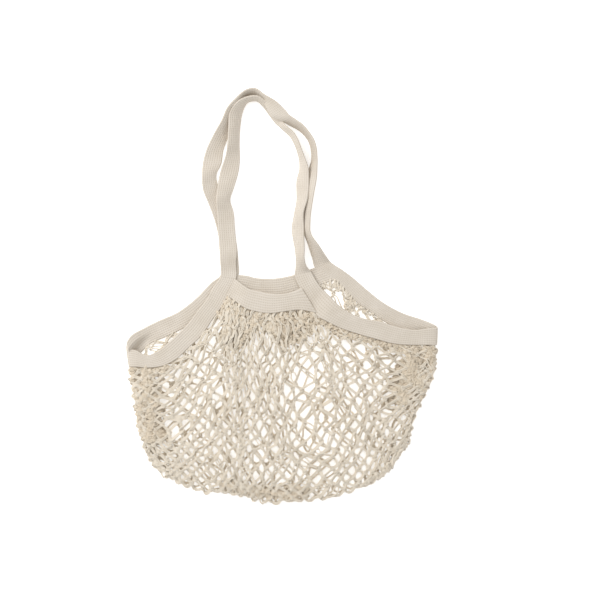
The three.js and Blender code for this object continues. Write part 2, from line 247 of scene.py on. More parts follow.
BACK_HANDLE = [
    (-58, 44, 1.3, -82, 45, 1.3),
    (-61, 73, 1.3, -84, 75, 1.3),
    (-66, 92, 1.3, -89, 98, 1.5),
    (-75, 117, 1.3, -98, 123, 2),
    (-82, 137, 1.3, -105, 141, 4),
    (-87.5, 160, 1.3, -106, 160, 9),
    (-81, 176, 1.3, -105.5, 176, 2.5),
    (-78, 194.5, 1.3, -100.5, 195, 5),
    (-72, 211, 1.3, -91, 214, 10),
    (-67.5, 231, 1.3, -80, 232, 17),
    (-63, 249, 1.3, -72, 249, 20),
    (-55.5, 259, 1.3, -61.5, 261, 21.5),
    (-46, 267, 1.3, -48, 272, 21.5),
    (-35, 268, 1.3, -35, 274, 21.5),
    (-26, 262, 9, -23, 266, 22),
    (-21, 250, 17, -9, 258, 21.5),
    (-14, 238, 17, 3, 247, 20.5),
    (-3, 233, 15, 10, 239, 21),
    (9, 228, 6, 17, 234, 21),
    (25, 220, 1.3, 30, 224, 21.5),
    (37, 206, 1.3, 43, 205, 22),
    (41, 185, 1.3, 47, 182, 22),
    (37, 170, 1.3, 47, 169, 21.5),
    (31, 156, 1.3, 46, 154, 20.5),
    (27, 128, 1.3, 41, 127, 20.5),
    (25, 101, 1.3, 38, 100, 21),
    (31.5, 81, 1.3, 38.5, 82, 21.5),
    (36.5, 65, 1.3, 49, 67, 17),
    (41, 47.5, 1.3, 60, 51, 6),
]

# The net's outline below the bands
LEFT_FOLD = [(-203, -93), (-197, -128), (-192.5, -159), (-185.5, -192), (-176.5, -213), (-165, -232)]
RIGHT_FOLD = [(205, -65), (200.5, -104), (187.5, -133), (174, -165), (166, -196), (142.5, -226.5)]
BOTTOM = [
    (-165, -232),
    (-125, -256),
    (-60, -268),
    (-19, -276),
    (37, -274.5),
    (91, -262.5),
    (125, -247),
    (142.5, -226.5),
]

# The bumps of the net's outline, as waves: length, phase and height
EDGE_WAVES = [(11.3, 0.5, 0.7), (17.9, 2.1, 0.9), (29.0, 4.4, 0.8)]
# Where these waves start on each part of the outline, and how far they run
OUTLINE_RUNS = {"left": (0, 150), "right": (400, 170), "bottom": (700, 340)}

# How far in from the outline these bumps reach, as shares of the net's width and depth
BUMPS_FROM_SIDE = 0.03
BUMPS_FROM_BOTTOM = 0.05
# How far below the mouth the sides' bumps have their full height, and how far the bottom's are drawn in
BUMPS_FROM_MOUTH = 0.1
BOTTOM_INSET = 0.6

# How the columns of meshes spread across the net: share of the columns, share of the width at the middle
# of the net's depth, and at its bottom. The net is crowded at both side folds, the front in pleats too.
FRONT_SPREAD = [
    (0, 0, 0),
    (0.14, 0.12, 0.11),
    (0.2, 0.18, 0.18),
    (0.33, 0.32, 0.27),
    (0.41, 0.38, 0.33),
    (0.51, 0.46, 0.45),
    (0.61, 0.61, 0.55),
    (0.72, 0.73, 0.7),
    (0.78, 0.8, 0.77),
    (0.92, 0.93, 0.92),
    (1, 1, 1),
]
BACK_SPREAD = [
    (0, 0, 0),
    (0.13, 0.085, 0.12),
    (0.5, 0.47, 0.49),
    (0.88, 0.9, 0.88),
    (1, 1, 1),
]
# The share of the pairs of strands that carry a third one, from left to right
THIRD_STRAND = [(0, 0.4), (0.26, 0.4), (0.32, 0.08), (0.55, 0.08), (0.6, 0.2), (1, 0.2)]

# How far slack net reaches out from a band, by the share of its length along it: the gathers under the
# front rim and the side bands, then the net in the left and the right corner of the mouth
RIM_REACH = [(0, 58), (0.25, 60), (0.38, 30), (0.47, 16), (0.56, 24), (0.75, 46), (0.88, 42), (1, 22)]
UPPER_LEFT_REACH = [(0, 30), (1, 6)]
CORNER_REACH = [(0, 4), (0.5, 12), (1, 22)]
RIGHT_REACH = [(0, 14), (0.1, 6), (0.2, 9), (0.35, 12), (0.6, 7), (1, 12)]
LEFT_WINDOW_REACH = [(0, 15), (1, 13)]
WINDOW_REACH = [(0, 11), (0.3, 13), (0.5, 17), (0.75, 14), (1, 9)]
BUNDLE_REACH = [(0, 24), (1, 21)]
FRINGE_REACH = [(0, 3), (0.3, 6), (1, 4)]

# Where the front lies down on the back, beside the ends of the front handle: the two ends of each such
# place, how far it spreads, and how far down the front lies.
SAGS = [((-68, 24), (-126, -36), 36, 6.9), ((33, 30), (52, 5), 30, 5.6)]

# Where the loose net lies open, or crowded where the last number is negative: the place, how far it
# spreads, and how far it moves the net aside.
OPEN_PLACES = [
    (-40, -180, 20, 5),
    (-38, -220, 16, 4),
    (-148, -150, 16, 4),
    (-150, -178, 16, 4),
    (-80, -132, 16, 3),
    (-72, -208, 16, 5),
    (38, -98, 18, 4),
    (28, -128, 22, 4),
    (45, -172, 24, 5),
    (0, -238, 16, 4),
    (75, -235, 16, -3),
    (92, -78, 16, 3),
    (95, -130, 16, 3),
    (92, -180, 14, 3),
    (150, -182, 14, 4),
    (-120, -78, 22, -6),
    (-122, -165, 16, -3),
    (15, -205, 16, -3),
    (11, -99, 14, -4),
    (118, -145, 16, -3),
]


def mix(a, b, t):
    """The value that lies a share t of the way from a to b."""
    return a + (b - a) * t


def smooth(t):
    """A soft step from 0 to 1, as t goes from 0 to 1."""
    t = np.clip(t, 0, 1)
    return t * t * (3 - 2 * t)


def quarter(t):
    """The rise of a quarter circle from 0 to 1, as t goes from 0 to 1."""
    return np.sqrt(1 - (1 - np.clip(t, 0, 1)) ** 2)


def unit(v):
    """The vectors, each at length 1."""
    return v / np.maximum(np.linalg.norm(v, axis=-1, keepdims=True), 1e-9)


def run_along(line):
    """The length along a line of places, from its start to each of them."""
    return np.r_[0, np.cumsum(np.linalg.norm(np.diff(line, axis=0), axis=1))]


def directions(line, up=UP):
    """The directions beside and above a line of places."""
    along = unit(np.gradient(line, axis=0))
    aside = unit(np.cross(along, up))
    return aside, np.cross(aside, along)


def spline(points, rows):
    """Places on a smooth curve through the points, counted in rows."""
    p = np.asarray(points, float)
    rows = np.atleast_1d(np.asarray(rows, float))
    k = np.clip(np.floor(rows).astype(int), 0, len(p) - 2)
    t = (rows - k)[:, None]
    ext = np.vstack([2 * p[0] - p[1], p, 2 * p[-1] - p[-2]])
    p0, p1, p2, p3 = ext[k], ext[k + 1], ext[k + 2], ext[k + 3]

    def gap(a, b):
        return np.sqrt(np.maximum(np.linalg.norm(a - b, axis=1), 1e-8))[:, None]

    d0, d1, d2 = gap(p0, p1), gap(p1, p2), gap(p2, p3)
    t1 = ((p1 - p0) / d0 - (p2 - p0) / (d0 + d1) + (p2 - p1) / d1) * d1
    t2 = ((p2 - p1) / d1 - (p3 - p1) / (d1 + d2) + (p3 - p2) / d2) * d1
    return p1 + t1 * t + (3 * p2 - 3 * p1 - 2 * t1 - t2) * t**2 + (2 * p1 - 2 * p2 + t1 + t2) * t**3


# Meshes


def grid_piece(name, points, uv, breaks=()):
    """A closed tube, or several, from a grid of points: a row of the grid is one cross-section, whose
    first and last point coincide. No skin is made across the breaks, each between a row and the next."""
    rows, columns = points.shape[:2]
    bm = bmesh.new()
    bm.loops.layers.uv.new("UVMap")
    bmesh.ops.create_grid(bm, x_segments=columns - 1, y_segments=rows - 1, size=0.5)
    mesh = bpy.data.meshes.new(name)
    bm.to_mesh(mesh)
    bm.free()
    corners = np.empty(len(mesh.loops), np.int32)
    mesh.loops.foreach_get("vertex_index", corners)
    mesh.uv_layers[0].data.foreach_set("uv", uv.reshape(-1, 2)[corners].ravel().astype(np.float32))
    mesh.vertices.foreach_set("co", (points * MM).ravel())
    mesh.update()
    bm = bmesh.new()
    bm.from_mesh(mesh)
    bm.faces.ensure_lookup_table()
    across = columns - 1
    apart = [bm.faces[r * across + c] for r in breaks for c in range(across)]
    bmesh.ops.delete(bm, geom=apart, context="FACES_ONLY")
    loose = [e for e in bm.edges if not e.link_faces]
    bmesh.ops.delete(bm, geom=loose, context="EDGES")
    bmesh.ops.remove_doubles(bm, verts=bm.verts[:], dist=2e-7)
    ends = [e for e in bm.edges if e.is_boundary]
    bmesh.ops.holes_fill(bm, edges=ends, sides=0)
    bmesh.ops.recalc_face_normals(bm, faces=bm.faces[:])
    for f in bm.faces:
        f.smooth = True
    for e in ends:
        e.smooth = False
    bm.to_mesh(mesh)
    bm.free()
    obj = bpy.data.objects.new(name, mesh)
    bpy.context.scene.collection.objects.link(obj)
    return obj


# The tape


def tape_profile():
    """Places across the tape, from -1 to 1, and the height of its surface over its middle plane there,
    over one face and back over the other."""
    k = np.linspace(-1, 1, WALES * POINTS_PER_WALE + 1)
    swell = mix(TAPE_EDGE_SHARE, 1, (1 - np.abs(k) ** TAPE_EDGE_POWER) ** 0.5)
    rib = WALE_DEPTH * (1 - np.abs(np.sin(np.pi * WALES * (k + 1) / 2)) ** WALE_POWER)
    half = TAPE_THICKNESS / 2 * swell - rib
    side = np.array([[TAPE_EDGE_REACH, 0.0]])
    return np.vstack([np.c_[k, half], side, np.c_[k[::-1], -half[::-1]], -side, np.c_[k[:1], half[:1]]])


PROFILE = tape_profile()


def name_of_node(name):
    """The name of the solid that a tape stands for."""
    return name.replace("_tape", "")


def tape_piece(name, centre, across, up, width, curl, hook, phase):
    """A knitted tape along a line of places, with its width from edge to edge, the curl of its face in
    degrees, and the hook, which is how far its free edge turns up. The phase shifts its stitches."""
    k, h = PROFILE[:, 0], PROFILE[:, 1]
    bend = np.radians(curl)
    radius = width / (2 * np.sin(bend / 2))
    centre = centre + up * (radius * (1 - np.cos(bend / 2)))[:, None]
    angle = k[None] * bend[:, None] / 2
    reach = radius[:, None] + h[None]
    points = (
        centre[:, None]
        + across[:, None] * (reach * np.sin(angle))[:, :, None]
        + up[:, None] * (reach * np.cos(angle) - radius[:, None])[:, :, None]
    )
    points[:, :, 2] += hook[:, None] * smooth((k + 0.5) / 0.9)[None]
    sunk = np.minimum(points[:, :, 2].min(1), 0)
    points[:, :, 2] -= sunk[:, None]
    run = run_along(centre)
    uv = np.empty(points.shape[:2] + (2,))
    uv[:, :, 0] = (k[None] + 1) / 2
    uv[:, :, 1] = run[:, None] * MM + phase
    piece = grid_piece(name, points, uv)
    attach(piece, "root")
    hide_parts(name_of_node(name))
    return piece, run[-1]


def ripple(count, seed, size):
    """A slow uneven wave along a tape."""
    rng = np.random.default_rng(seed)
    s = np.arange(count) * TAPE_STEP
    wave = sum(np.sin(2 * np.pi * s / length + rng.uniform(0, 6.3)) for length in RIPPLE_LENGTHS)
    return size * wave / len(RIPPLE_LENGTHS)


def evenly(step, *lines):
    """The lines again, with places an even step apart along the middle between them."""
    run = run_along(sum(line[:, :3] for line in lines) / len(lines))
    at = np.linspace(0, run[-1], max(4, int(round(run[-1] / step))) + 1)
    return [np.stack([np.interp(at, run, one) for one in line.T], axis=1) for line in lines]


def flat_tape(name, net, free, seed):
    """A tape that lies between its net edge and its free edge, and curls where it stands on edge."""
    net, free = evenly(TAPE_STEP, net, free)
    hook = free[:, 3]
    free = free[:, :3]
    count = len(net)
    centre = (net + free) / 2
    across = free - net
    width = np.linalg.norm(across, axis=1)
    across = across / width[:, None]
    along = unit(np.gradient(centre, axis=0))
    up = unit(np.cross(across, along))
    up = up * np.sign(up[0, 2])
    from_end = np.minimum(np.arange(count), np.arange(count)[::-1]) * TAPE_STEP
    away = smooth(from_end / TAPE_END_LENGTH)
    tilt = (ripple(count, seed, TAPE_TILT) * away)[:, None]
    across = unit(across + up * tilt)
    up = unit(up - across * tilt)
    curl = FLAT_CURL + STANDING_CURL * smooth(np.abs(across[:, 2])) * away
    return tape_piece(name, centre, across, up, width, curl, hook, seed * 0.37)


def sag(xy):
    """How far down the front lies at a place."""
    depth = np.zeros(len(xy))
    for start, end, spread, most in SAGS:
        along = np.subtract(end, start)
        t = np.clip((xy - start) @ along / (along @ along), 0, 1)
        apart = np.linalg.norm(xy - start - t[:, None] * along, axis=1)
        depth = np.maximum(depth, most * smooth(1 - apart / spread))
    return depth


def wall_level(aside, above, fold, level):
    """The height near a fold, which is rounded over the first step aside from it and above it."""
    return mix(fold, level, quarter(aside) * quarter(above))


def band_edges(band, rows):
    """Places on a band's net edge and on its free edge."""
    band = np.asarray(band, float)
    return spline(band[:, :2], rows), spline(band[:, 2:], rows)


def plan(row):
    """A handle's row as a band's row, without its heights."""
    return (*row[0:2], *row[3:5])


def band_lines(band, marks, turn, before, after):
    """A side band's net edge and free edge, from the front handle's end round the corner of the mouth to
    the back handle's end, and how far the free edge turns up past the corner. The rows before and after
    are those of the handles, which the band runs on into."""
    parts, lift = turn
    rows = np.linspace(0, len(band) - 1, BAND_FINENESS * len(band))
    net, free = band_edges([plan(before), *band, plan(after)], rows + 1)
    past = rows - marks["fold"]
    front = marks["fold"] - marks["front_corner"]
    back = marks["back_corner"] - marks["fold"]
    aside = np.where(past < 0, -past / front, past / back) * parts
    level = np.where(past < 0, FRONT_LEVEL - sag((net + free) / 2), BACK_LEVEL)
    z = wall_level(aside, DEPTH_PARTS, MOUTH_FOLD_LEVEL, level)
    hook = lift * smooth((past - 0.05) / 0.5) * smooth((2.6 - past) / 1.8)
    return np.c_[net, z], np.c_[free, z, hook]


LEFT_LINES = band_lines(LEFT_BAND, LEFT_MARKS, LEFT_TURN, FRONT_HANDLE[0], BACK_HANDLE[0])
RIGHT_LINES = band_lines(RIGHT_BAND, RIGHT_MARKS, RIGHT_TURN, FRONT_HANDLE[-1], BACK_HANDLE[-1])


def under_edge(row):
    """A place just under a side band, at its net edge."""
    return mix(np.array(row[:2]), np.array(row[2:]), RIM_OVERLAP)


def rim_rows(rim, low, left_high, right_high):
    """The rim's rows between its two ends, which are cut along the side bands' net edges and reach just
    under them. The marks say between which of the bands' rows they are cut."""
    left = [under_edge(LEFT_BAND[LEFT_MARKS[mark]]) for mark in (low, left_high)]
    right = [under_edge(RIGHT_BAND[RIGHT_MARKS[mark]]) for mark in (low, right_high)]
    return [np.concatenate(left), *rim, np.concatenate(right)]


FRONT_RIM_ROWS = rim_rows(FRONT_RIM, "front_corner", "front_end", "front_bend")
BACK_RIM_ROWS = rim_rows(BACK_RIM, "back_corner", "back_end", "back_end")


def rim_lines(rows_of_rim, level):
    """A rim band's net edge and free edge."""
    rows = np.linspace(0, len(rows_of_rim) - 1, BAND_FINENESS * len(rows_of_rim))
    net, free = band_edges(rows_of_rim, rows)
    height = np.maximum(level - sag((net + free) / 2), BACK_LEVEL)
    return np.c_[net, height], np.c_[free, height, 0 * height]


def handle_lines(handle, level, end, step):
    """A handle's inner edge and outer edge between the ends of the two side bands, into which it runs on.
    The step leads from a band's end to its next row."""

    def row(band, k):
        return (*band[k][:2], level, *band[k][2:], level)

    i, j = LEFT_MARKS[end], RIGHT_MARKS[end]
    start = [row(LEFT_BAND, i + step), row(LEFT_BAND, i)]
    path = [*start, *handle, row(RIGHT_BAND, j), row(RIGHT_BAND, j + step)]
    places = spline(path, np.linspace(1, len(path) - 2, HANDLE_FINENESS * len(path)))
    down = sag((places[:, 0:2] + places[:, 3:5]) / 2)
    for z in (2, 5):
        places[:, z] = np.maximum(places[:, z] - down, np.minimum(places[:, z], BACK_LEVEL))
    return places[:, :3], np.c_[places[:, 3:], np.zeros(len(places))]


# The net


def net_top(side, columns, c):
    """The net's upper edge at a count of columns from the left fold, with the direction down from it."""
    left, rim, right = columns["left"], columns["rim"], columns["right"]
    rim_band = FRONT_RIM_ROWS if side == "front" else BACK_RIM_ROWS
    corner = side + "_corner"
    parts = [
        (0, left, LEFT_BAND, LEFT_MARKS["fold"], LEFT_MARKS[corner]),
        (left, left + rim, rim_band, 0, len(rim_band) - 1),
        (left + rim, left + rim + right, RIGHT_BAND, RIGHT_MARKS[corner], RIGHT_MARKS["fold"]),
    ]
    place = np.zeros((len(c), 2))
    down = np.zeros((len(c), 2))
    for start, end, rows_of_band, first, last in parts:
        here = (c >= start) & (c <= end)
        if not here.any():
            continue
        rows = mix(first, last, (c[here] - start) / (end - start))
        net, free = band_edges(rows_of_band, rows)
        place[here] = net
        down[here] = unit(net - free)
    return place, down


def fold_at(fold, v):
    """Places on a fold, at shares of its length."""
    return spline(fold, v * (len(fold) - 1))


def edge_bumps(part, share):
    """How far the net's outline stands out, at a share of the length of one part of it."""
    start, length = OUTLINE_RUNS[part]
    run = share * length + start
    return sum(size * np.sin(2 * np.pi * run / wave + phase) for wave, phase, size in EDGE_WAVES)


class Wall:
    """One side of the net: places on it by column and by row."""

    def __init__(self, side, columns, rows, spread, seed):
        self.side = side
        self.columns = columns
        self.count = sum(columns.values())
        self.rows = rows
        self.spread = np.asarray(spread, float)
        rng = np.random.default_rng(seed)
        self.waves = [
            (rng.uniform(0, 2 * np.pi), rng.uniform(26, 75), rng.uniform(0, 6.3), rng.uniform(0, 2 * np.pi))
            for _ in range(SLACK_WAVES)
        ]

    def share(self, c, v):
        """The share of the width at a column, on a smooth line through the spread's rows."""

        def past(end, inner):
            return end - 0.2 * (inner - end) / abs(inner[0] - end[0])

        t = np.clip(c / self.count, 0, 1)
        rows = self.spread
        rows = np.vstack([past(rows[0], rows[1]), rows, past(rows[-1], rows[-2])])
        shifts = np.linspace(-SPREAD_BLUR, SPREAD_BLUR, 7)
        middle = sum(np.interp(t + k, rows[:, 0], rows[:, 1]) for k in shifts) / len(shifts)
        bottom = sum(np.interp(t + k, rows[:, 0], rows[:, 2]) for k in shifts) / len(shifts)
        return np.clip(mix(middle, bottom, smooth((v - 0.3) / 0.35)), 0, 1)

    def place(self, c, r):
        """Points on the wall, at columns c and rows r."""
        v = np.clip(r / self.rows, 0, 1)
        f = self.share(c, v)
        from_side = np.minimum(f, 1 - f)
        v = v + mix(MIDDLE_ROW_SHIFT, SIDE_ROW_SHIFT, smooth(1 - from_side / SIDE_PART)) * v * (1 - v)
        top, down = net_top(self.side, self.columns, np.clip(c, 0, self.count))
        f1, v1 = f[:, None], v[:, None]
        low = spline(BOTTOM, f * (len(BOTTOM) - 1))
        sides = mix(fold_at(LEFT_FOLD, v), fold_at(RIGHT_FOLD, v), f1)
        top_line = mix(np.asarray(LEFT_FOLD[0], float), np.asarray(RIGHT_FOLD[0], float), f1)
        low_line = mix(np.asarray(BOTTOM[0], float), np.asarray(BOTTOM[-1], float), f1)
        xy = sides + mix(top, low, v1) - mix(top_line, low_line, v1)
        xy = xy + down * (np.minimum(r, 0) * ROW_UNDER_TAPE)[:, None]
        loose = smooth(from_side / LOOSE_FROM_SIDE) * smooth(v / LOOSE_FROM_MOUTH)
        loose = loose * smooth((1 - v) / LOOSE_FROM_BOTTOM)
        xy = xy + self.slack(xy) * loose[:, None]
        below_mouth = smooth(v / BUMPS_FROM_MOUTH)
        xy[:, 0] -= smooth(1 - f / BUMPS_FROM_SIDE) * below_mouth * edge_bumps("left", v)
        xy[:, 0] += smooth(1 - (1 - f) / BUMPS_FROM_SIDE) * below_mouth * edge_bumps("right", v)
        xy[:, 1] -= smooth(1 - (1 - v) / BUMPS_FROM_BOTTOM) * (edge_bumps("bottom", f) - BOTTOM_INSET)
        fold = mix(MOUTH_FOLD_LEVEL, BOTTOM_FOLD_LEVEL, v)
        level = np.full(len(f), BACK_NET_LEVEL)
        if self.side == "front":
            level = self.front_level(c, r, f, v) - sag(xy)
        z = wall_level(from_side * WIDTH_PARTS, DEPTH_PARTS * (1 - v), fold, level)
        return np.c_[xy, z]

    def front_level(self, c, r, f, v):
        """The front's height: a low dome with pleats under the rim, lowered to pass under the side bands."""
        dome = DOME_RISE * np.sin(np.pi * f) * np.sin(np.pi * v)
        gathered = np.sin(np.pi * np.clip(v / PLEAT_DEPTH, 0, 1))
        pleats = PLEAT_RISE * gathered * np.cos(2 * np.pi * c / PLEAT_COLUMNS)
        uneven = UNEVEN_RISE * np.sin(c * 0.9 + r * 0.21)
        under_band = smooth(1 - r / 0.7) * smooth(self.from_rim(c) + 0.5)
        level = FRONT_LEVEL - FRONT_NET_DROP + dome + (pleats + uneven) * smooth(v / 0.1)
        return level - UNDER_BAND_DROP * under_band

    def from_rim(self, c):
        """How many columns a column lies to the side of the rim."""
        return np.maximum(self.columns["left"] - c, c - self.count + self.columns["right"])

    def hang(self, r, c):
        """How nearly the strands hang side by side, as they do where the net is gathered to the front
        rim."""
        return WALL_HANG * smooth(1 - r / 8) * smooth(1 - self.from_rim(c) / 2) * (self.side == "front")

    def slack(self, xy):
        """The uneven way that the loose net lies."""
        total = np.zeros_like(xy)
        for turn, length, phase, heading in self.waves:
            s = xy[:, 0] * math.cos(turn) + xy[:, 1] * math.sin(turn)
            wave = np.sin(2 * np.pi * s / length + phase) * length * SLACK_SHARE
            total += wave[:, None] * np.array([math.cos(heading), math.sin(heading)])
        for x, y, reach, push in OPEN_PLACES:
            aside = (xy - (x, y)) / reach
            total += push * aside * np.exp(-0.5 * (aside**2).sum(1))[:, None]
        return total


def crush(run, k, phase):
    """The uneven way that crumpled net lies: two waves each way, in millimetres."""
    sideways = 2.2 * np.sin(run * 0.31 + phase[0]) + 1.5 * np.sin(run * 0.83 + k * 9 + phase[1])
    lengthways = 2.0 * np.sin(run * 0.27 + k * 6 + phase[2]) + 1.4 * np.sin(run * 0.71 + phase[3])
    return np.stack([sideways, lengthways], axis=1)


class Tuck:
    """Slack net that is folded in between the two sides. Its strands run along a part of the outline."""

    def __init__(self, line, part, depth, meshes, level, inward, seed):
        self.line = line
        self.first, self.last = part
        self.start, self.reach = depth
        self.count, self.rows = meshes
        self.level = level
        self.inward = np.asarray(inward, float)
        self.phase = np.random.default_rng(seed).uniform(0, 6.3, 6)

    def place(self, c, r):
        """Points on the tuck, at columns c and rows r."""
        t = np.clip(r / self.rows, 0, 1)
        k = c / self.count
        edge = spline(self.line, mix(self.first, self.last, t) * (len(self.line) - 1))
        depth = self.start + self.reach * k * (1 + 0.25 * np.sin(t * 9 + self.phase[4]))
        folds = crush(t * 120 + k * 30, k, self.phase) * smooth(k / 0.3)[:, None]
        xy = edge + self.inward[None] * depth[:, None] + folds
        z = self.level + TUCK_RISE * np.sin(k * 7 + t * 11 + self.phase[5]) * smooth(k / 0.2)
        return np.c_[xy, z]

    def hang(self, r, c):
        """A tuck's strands don't hang."""
        return 0.0


class Gather:
    """Slack net that is drawn together under a band. Its strands run down and outwards from it."""

    def __init__(self, band, part, reach, meshes, level, lean, crumple, seed):
        self.band = np.asarray(band, float)
        self.first, self.last = part
        self.reach = reach
        self.count, self.rows = meshes
        self.level = level
        self.lean = lean
        self.crumple = crumple
        self.phase = np.random.default_rng(seed).uniform(0, 6.3, 6)

    def place(self, c, r):
        """Points on the gather, at columns c and rows r."""
        s = np.clip(c / self.count, 0, 1)
        t = np.clip(r / self.rows, 0, 1)
        net, free = band_edges(self.band, mix(self.first, self.last, s))
        down = unit(unit(net - free) + self.lean)
        reach = np.interp(s, *np.transpose(self.reach))
        slack = self.crumple * smooth(t / 0.3) * np.minimum(reach / 40, 1)
        folds = crush(s * 90 + t * 25, t, self.phase) * slack[:, None]
        xy = net + down * (reach * t - 3 * smooth(1 - t / 0.1))[:, None] + folds
        z = np.minimum(self.level, FRONT_LEVEL - GATHER_DROP - sag(xy)) - 1.5 * smooth(1 - t / 0.2)
        wave = np.sin(s * 23 + t * 5 + self.phase[5]) * smooth(t / 0.2)
        return np.c_[xy, z + GATHER_RISE * self.crumple * wave]

    def hang(self, r, c):
        """How nearly the strands hang side by side."""
        return GATHER_HANG * self.crumple


def cord_rings(line, radius, aside, rise, along):
    """A cord's cross-sections along a line, kept off the floor, and their places round and along it."""
    around = np.linspace(0, 2 * np.pi, STRAND_SIDES + 1)
    ring = (
        line[:, None]
        + (radius[:, None] * np.cos(around))[:, :, None] * aside[:, None]
        + (radius[:, None] * np.sin(around))[:, :, None] * rise[:, None]
    )
    ring[:, :, 2] += np.maximum(FLOOR_GAP - ring[:, :, 2].min(1), 0)[:, None]
    uv = np.empty(ring.shape[:2] + (2,))
    uv[:, :, 0] = around / (2 * np.pi)
    uv[:, :, 1] = along[:, None]
    return ring, uv


def cord_piece(name, cords, finish):
    """One piece of the net, from the cross-sections of its cords."""
    rings, uvs = zip(*cords)
    breaks = np.cumsum([len(ring) for ring in rings])[:-1] - 1
    piece = grid_piece(name, np.vstack(rings), np.vstack(uvs), breaks)
    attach(piece, "root")
    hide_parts("net_body")
    piece.data.materials.append(finish)


def crossing(y, r, count):
    """The column of the crossing that pair y passes in row r, the pair's side of it, and its number."""
    even = (y + r) % 2 == 0
    m = np.where(even, y + 1, y) / 2
    return m, np.where(even, -1.0, 1.0), np.clip(np.rint(m).astype(int), 0, count + 1)


def from_fold(m, count):
    """How far a column lies from the nearer fold, up to one column."""
    return np.clip(np.minimum(m, count - m), 0, 1)


def swing(side, turn, aside, rise):
    """The way from a crossing's middle to a pair that has turned round it."""
    return (side * np.cos(turn))[:, None] * aside + (side * np.sin(turn))[:, None] * rise


class Strands:
    """The strands of a wall of net. They run in pairs. Neighbouring pairs twist round each other where they
    meet, on alternate sides from row to row, which leaves the meshes between them."""

    def __init__(self, wall, seed):
        rng = np.random.default_rng(seed)
        count, rows = wall.count, wall.rows
        self.wall = wall
        self.pairs = 2 * count
        self.knot_shift = rng.normal(0, 1, (rows + 1, count + 2, 2)) * KNOT_SHIFT
        self.knot_turn = rng.choice([-1, 1], (rows + 1, count + 2))
        self.pair_wave = rng.uniform(0, 2 * np.pi, (self.pairs, 3))
        self.short = rng.uniform(0, SHORTEST_LOOP, count + 2)
        third = np.interp(np.arange(self.pairs) / self.pairs, *np.transpose(THIRD_STRAND))
        self.full = rng.random(self.pairs) < third
        is_open = rng.random((self.pairs, rows)) < OPEN_PAIR_SHARE
        self.spread = np.where(is_open, rng.uniform(*OPEN_PAIR_SPREAD, (self.pairs, rows)), 0.0)
        stations = np.arange(rows)[:, None] + np.array(PAIR_STATIONS)[None]
        self.t = np.r_[FIRST_ROW, stations.ravel(), rows]
        self.row = np.clip(np.floor(self.t).astype(int), 0, rows - 1)
        self.after = np.minimum(self.row + 1, rows)
        self.part = self.t - self.row
        self.within = np.clip(self.part, 0, 1)

    def course(self, y):
        """The columns and rows that pair y runs through, from the crossing before to the one after."""
        count, rows, t = self.wall.count, self.wall.rows, self.t
        before, _, i = crossing(y, self.row, count)
        behind, _, j = crossing(y, self.row + 1, count)
        shift_a, shift_b = self.knot_shift[self.row, i], self.knot_shift[self.after, j]
        ca = before + shift_a[:, 0] * from_fold(before, count)
        cb = behind + shift_b[:, 0] * from_fold(behind, count)
        pull = smooth((self.part - CROSSING_SHARE * 0.35) / (1 - 0.7 * CROSSING_SHARE))
        c = mix(mix(ca, cb, pull), (y + 0.5) / 2, self.wall.hang(t, before))
        lift = mix(shift_a[:, 1], shift_b[:, 1], self.within)
        r = t + lift * smooth(t / 1.5) * smooth(rows - t)
        last = np.clip((r - (rows - 1)), 0, 1)
        r = np.where(last > 0, rows - 1 + (1 - self.short[j]) * np.sin(np.pi / 2 * last), r)
        return np.clip(c, 0, count), r

    def middle(self, y):
        """The line along the middle of pair y, which turns round its neighbours at the crossings."""
        base = self.wall.place(*self.course(y))
        aside, rise = directions(base)
        _, side_a, i = crossing(y, self.row, self.wall.count)
        _, side_b, j = crossing(y, self.row + 1, self.wall.count)
        turn_a = self.knot_turn[self.row, i] * np.pi * np.clip(self.part / CROSSING_SHARE, 0, 1)
        turn_b = self.knot_turn[self.after, j] * np.pi * np.clip((self.part - 1) / CROSSING_SHARE, -1, 0)
        near_a = smooth(1 - self.within / (CROSSING_SHARE * 1.7))[:, None]
        near_b = smooth(1 - (1 - self.part) / (CROSSING_SHARE * 1.7))[:, None]
        off = swing(side_a, turn_a, aside, rise) * near_a + swing(side_b, turn_b, aside, rise) * near_b
        return base + off * CROSSING_OFFSET

    def cords(self, y, radius):
        """The cross-sections of each strand of pair y."""
        t, wave = self.t, self.pair_wave[y]
        centre = self.middle(y)
        aside, rise = directions(centre)
        lean = 0.6 * np.sin(t * 0.83 + wave[0]) + 0.25 * np.sin(t * 2.9 + wave[1])
        opened = self.spread[y, self.row] * np.sin(np.pi * self.within) ** 2
        apart = (np.cos(lean) * (1.0 + opened))[:, None] * aside + (np.sin(lean) * 0.75)[:, None] * rise
        for side in TRIPLE if self.full[y] else PAIR:
            line = centre + apart * (side * PAIR_SHARE * radius)
            uneven = 0.13 * np.sin(t * 1.7 + side + wave[2]) + 0.08 * np.sin(t * 4.3 + y)
            run = run_along(line) * MM + y * 0.713 + side * 0.31
            yield cord_rings(line, radius * (1 + uneven), aside, rise, run)


def net_pieces(names, wall, seed, finish, radius):
    """The strands of a wall of net, from left to right in as many pieces as there are names."""
    strands = Strands(wall, seed)
    for k, name in enumerate(names):
        mine = [y for y in range(strands.pairs) if y * len(names) // strands.pairs == k]
        cord_piece(name, [cord for y in mine for cord in strands.cords(y, radius)], finish)


def seam_chain(name, lines, finish):
    """The chain of cord along the bands' net edges, by which the net hangs on them."""
    cords = []
    for line in lines:
        (line,) = evenly(CHAIN_STEP, line - (0, 0, CHAIN_DROP))
        run = run_along(line)
        beat = 2 * np.pi * run / CHAIN_LINK
        aside, rise = directions(line, UP + 0.01)
        for turn in (0, np.pi):
            sideways = aside * (CHAIN_SWING * np.sin(beat + turn))[:, None]
            upwards = rise * (CHAIN_RISE * (np.cos(beat + turn) - 0.5))[:, None]
            radius = np.full(len(line), CHAIN_RADIUS)
            cords.append(cord_rings(line + sideways + upwards, radius, aside, rise, run * MM + turn))
    cord_piece(name, cords, finish)


